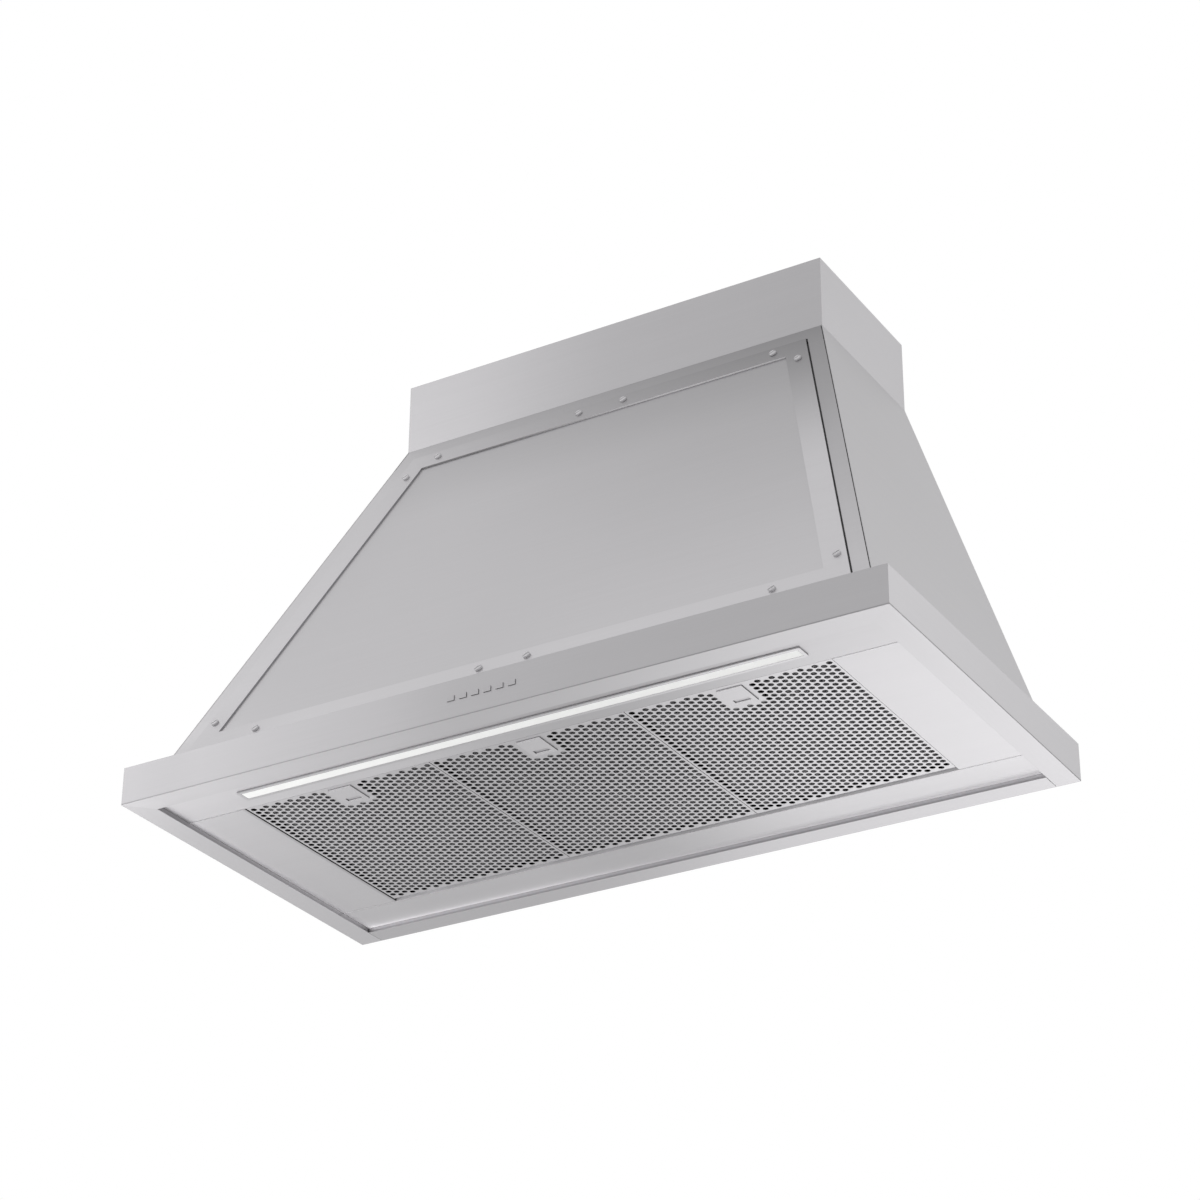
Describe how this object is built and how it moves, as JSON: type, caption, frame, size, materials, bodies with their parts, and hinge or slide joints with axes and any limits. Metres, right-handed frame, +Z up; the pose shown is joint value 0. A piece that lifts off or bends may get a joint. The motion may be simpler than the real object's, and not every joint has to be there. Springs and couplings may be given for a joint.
{
  "type": "wall mount range hood",
  "caption": "Wall mount chimney range hood with a pyramid body, perforated baffle cassettes on latches, push buttons, light bar, blower and duct damper.",
  "frame": {"origin": "on the wall plane, in the middle of the hood's width, at the underside of the skirt", "axes": "+X to the right seen from the front, +Y into the wall, +Z up"},
  "size_m": [1, 0.5009, 0.66],
  "materials": {
    "band_steel": "satin, grain along the band",
    "deck_steel": "satin",
    "body_steel": "satin, grain along the panel",
    "trim_steel": "satin, grain along the strip",
    "filter_steel": "satin",
    "latch_steel": "satin",
    "galvanised_steel": "dull zinc",
    "screw_steel": "bright",
    "spring_steel": "bright",
    "filter_mesh": "layered expanded mesh",
    "light_metal": "satin anodised",
    "diffuser": "opal",
    "button_metal": "satin",
    "circuit_board": "solder mask",
    "housing_plastic": "fine grain",
    "motor_paint": "satin paint",
    "lead_sheath": "matte"
  },
  "bodies": {
    "root": {"front_band": "band_steel", "left_band": "band_steel", "right_band": "band_steel", "rear_rail": "band_steel", "light_panel": "deck_steel", "left_infill_panel": "deck_steel", "right_infill_panel": "deck_steel", "rear_infill_panel": "deck_steel", "light_frame": "light_metal", "light_diffuser": "diffuser", "light_board": "circuit_board", "button_housing": "housing_plastic", "control_board": "circuit_board", "front_surround": "body_steel", "front_panel": "body_steel", "left_side_panel": "body_steel", "right_side_panel": "body_steel", "back_panel": "galvanised_steel", "top_plate": "galvanised_steel", "trim_bottom": "trim_steel", "trim_top": "trim_steel", "trim_left": "trim_steel", "trim_right": "trim_steel", "trim_screws": "screw_steel", "flue_front": "body_steel", "flue_left": "body_steel", "flue_right": "body_steel", "duct_collar": "galvanised_steel", "damper_pin": "screw_steel", "scroll_wrap": "galvanised_steel", "scroll_side_left": "galvanised_steel", "scroll_side_right": "galvanised_steel", "motor": "motor_paint", "motor_bracket": "galvanised_steel", "terminal_box": "housing_plastic", "light_driver": "housing_plastic", "cable_gland": "housing_plastic", "wiring_harness": "lead_sheath"},
    "filter_1": {"filter_face_1": "filter_steel", "filter_mesh_1": "filter_mesh", "latch_spring_1": "spring_steel"},
    "latch_1": {"filter_latch_1": "latch_steel"},
    "filter_2": {"filter_face_2": "filter_steel", "filter_mesh_2": "filter_mesh", "latch_spring_2": "spring_steel"},
    "latch_2": {"filter_latch_2": "latch_steel"},
    "filter_3": {"filter_face_3": "filter_steel", "filter_mesh_3": "filter_mesh", "latch_spring_3": "spring_steel"},
    "latch_3": {"filter_latch_3": "latch_steel"},
    "button_1_body": {"button_1": "button_metal"},
    "button_2_body": {"button_2": "button_metal"},
    "button_3_body": {"button_3": "button_metal"},
    "button_4_body": {"button_4": "button_metal"},
    "button_5_body": {"button_5": "button_metal"},
    "button_6_body": {"button_6": "button_metal"},
    "fan_wheel": {"impeller": "galvanised_steel", "motor_shaft": "screw_steel"},
    "damper_left": {"damper_flap_left": "galvanised_steel"},
    "damper_right": {"damper_flap_right": "galvanised_steel"}
  },
  "joints": [
    {"name": "filter_1_swing", "type": "hinge", "parent": "root", "child": "filter_1", "pos_m": [-0.258, -0.0865, 0.015], "axis": [1, 0, 0], "range_deg": [0, 60]},
    {"name": "latch_1_slide", "type": "slide", "parent": "filter_1", "child": "latch_1", "axis": [0, 1, 0], "range_m": [0, 0.007], "stiffness_N_per_m": 400, "springref_m": -0.002, "deforming": ["latch_spring_1"]},
    {"name": "filter_2_swing", "type": "hinge", "parent": "root", "child": "filter_2", "pos_m": [0, -0.0865, 0.015], "axis": [1, 0, 0], "range_deg": [0, 60]},
    {"name": "latch_2_slide", "type": "slide", "parent": "filter_2", "child": "latch_2", "axis": [0, 1, 0], "range_m": [0, 0.007], "stiffness_N_per_m": 400, "springref_m": -0.002, "deforming": ["latch_spring_2"]},
    {"name": "filter_3_swing", "type": "hinge", "parent": "root", "child": "filter_3", "pos_m": [0.258, -0.0865, 0.015], "axis": [1, 0, 0], "range_deg": [0, 60]},
    {"name": "latch_3_slide", "type": "slide", "parent": "filter_3", "child": "latch_3", "axis": [0, 1, 0], "range_m": [0, 0.007], "stiffness_N_per_m": 400, "springref_m": -0.002, "deforming": ["latch_spring_3"]},
    {"name": "button_1_press", "type": "slide", "parent": "root", "child": "button_1_body", "axis": [0, 1, 0], "range_m": [0, 0.0015], "stiffness_N_per_m": 400},
    {"name": "button_2_press", "type": "slide", "parent": "root", "child": "button_2_body", "axis": [0, 1, 0], "range_m": [0, 0.0015], "stiffness_N_per_m": 400},
    {"name": "button_3_press", "type": "slide", "parent": "root", "child": "button_3_body", "axis": [0, 1, 0], "range_m": [0, 0.0015], "stiffness_N_per_m": 400},
    {"name": "button_4_press", "type": "slide", "parent": "root", "child": "button_4_body", "axis": [0, 1, 0], "range_m": [0, 0.0015], "stiffness_N_per_m": 400},
    {"name": "button_5_press", "type": "slide", "parent": "root", "child": "button_5_body", "axis": [0, 1, 0], "range_m": [0, 0.0015], "stiffness_N_per_m": 400},
    {"name": "button_6_press", "type": "slide", "parent": "root", "child": "button_6_body", "axis": [0, 1, 0], "range_m": [0, 0.0015], "stiffness_N_per_m": 400},
    {"name": "fan_spin", "type": "hinge", "parent": "root", "child": "fan_wheel", "pos_m": [0, -0.15, 0.33], "axis": [1, 0, 0], "continuous": true},
    {"name": "damper_left_open", "type": "hinge", "parent": "root", "child": "damper_left", "pos_m": [0, -0.098, 0.572], "axis": [0, 1, 0], "range_deg": [0, 75]},
    {"name": "damper_right_open", "type": "hinge", "parent": "root", "child": "damper_right", "pos_m": [0, -0.098, 0.572], "axis": [0, -1, 0], "range_deg": [0, 75]}
  ]
}
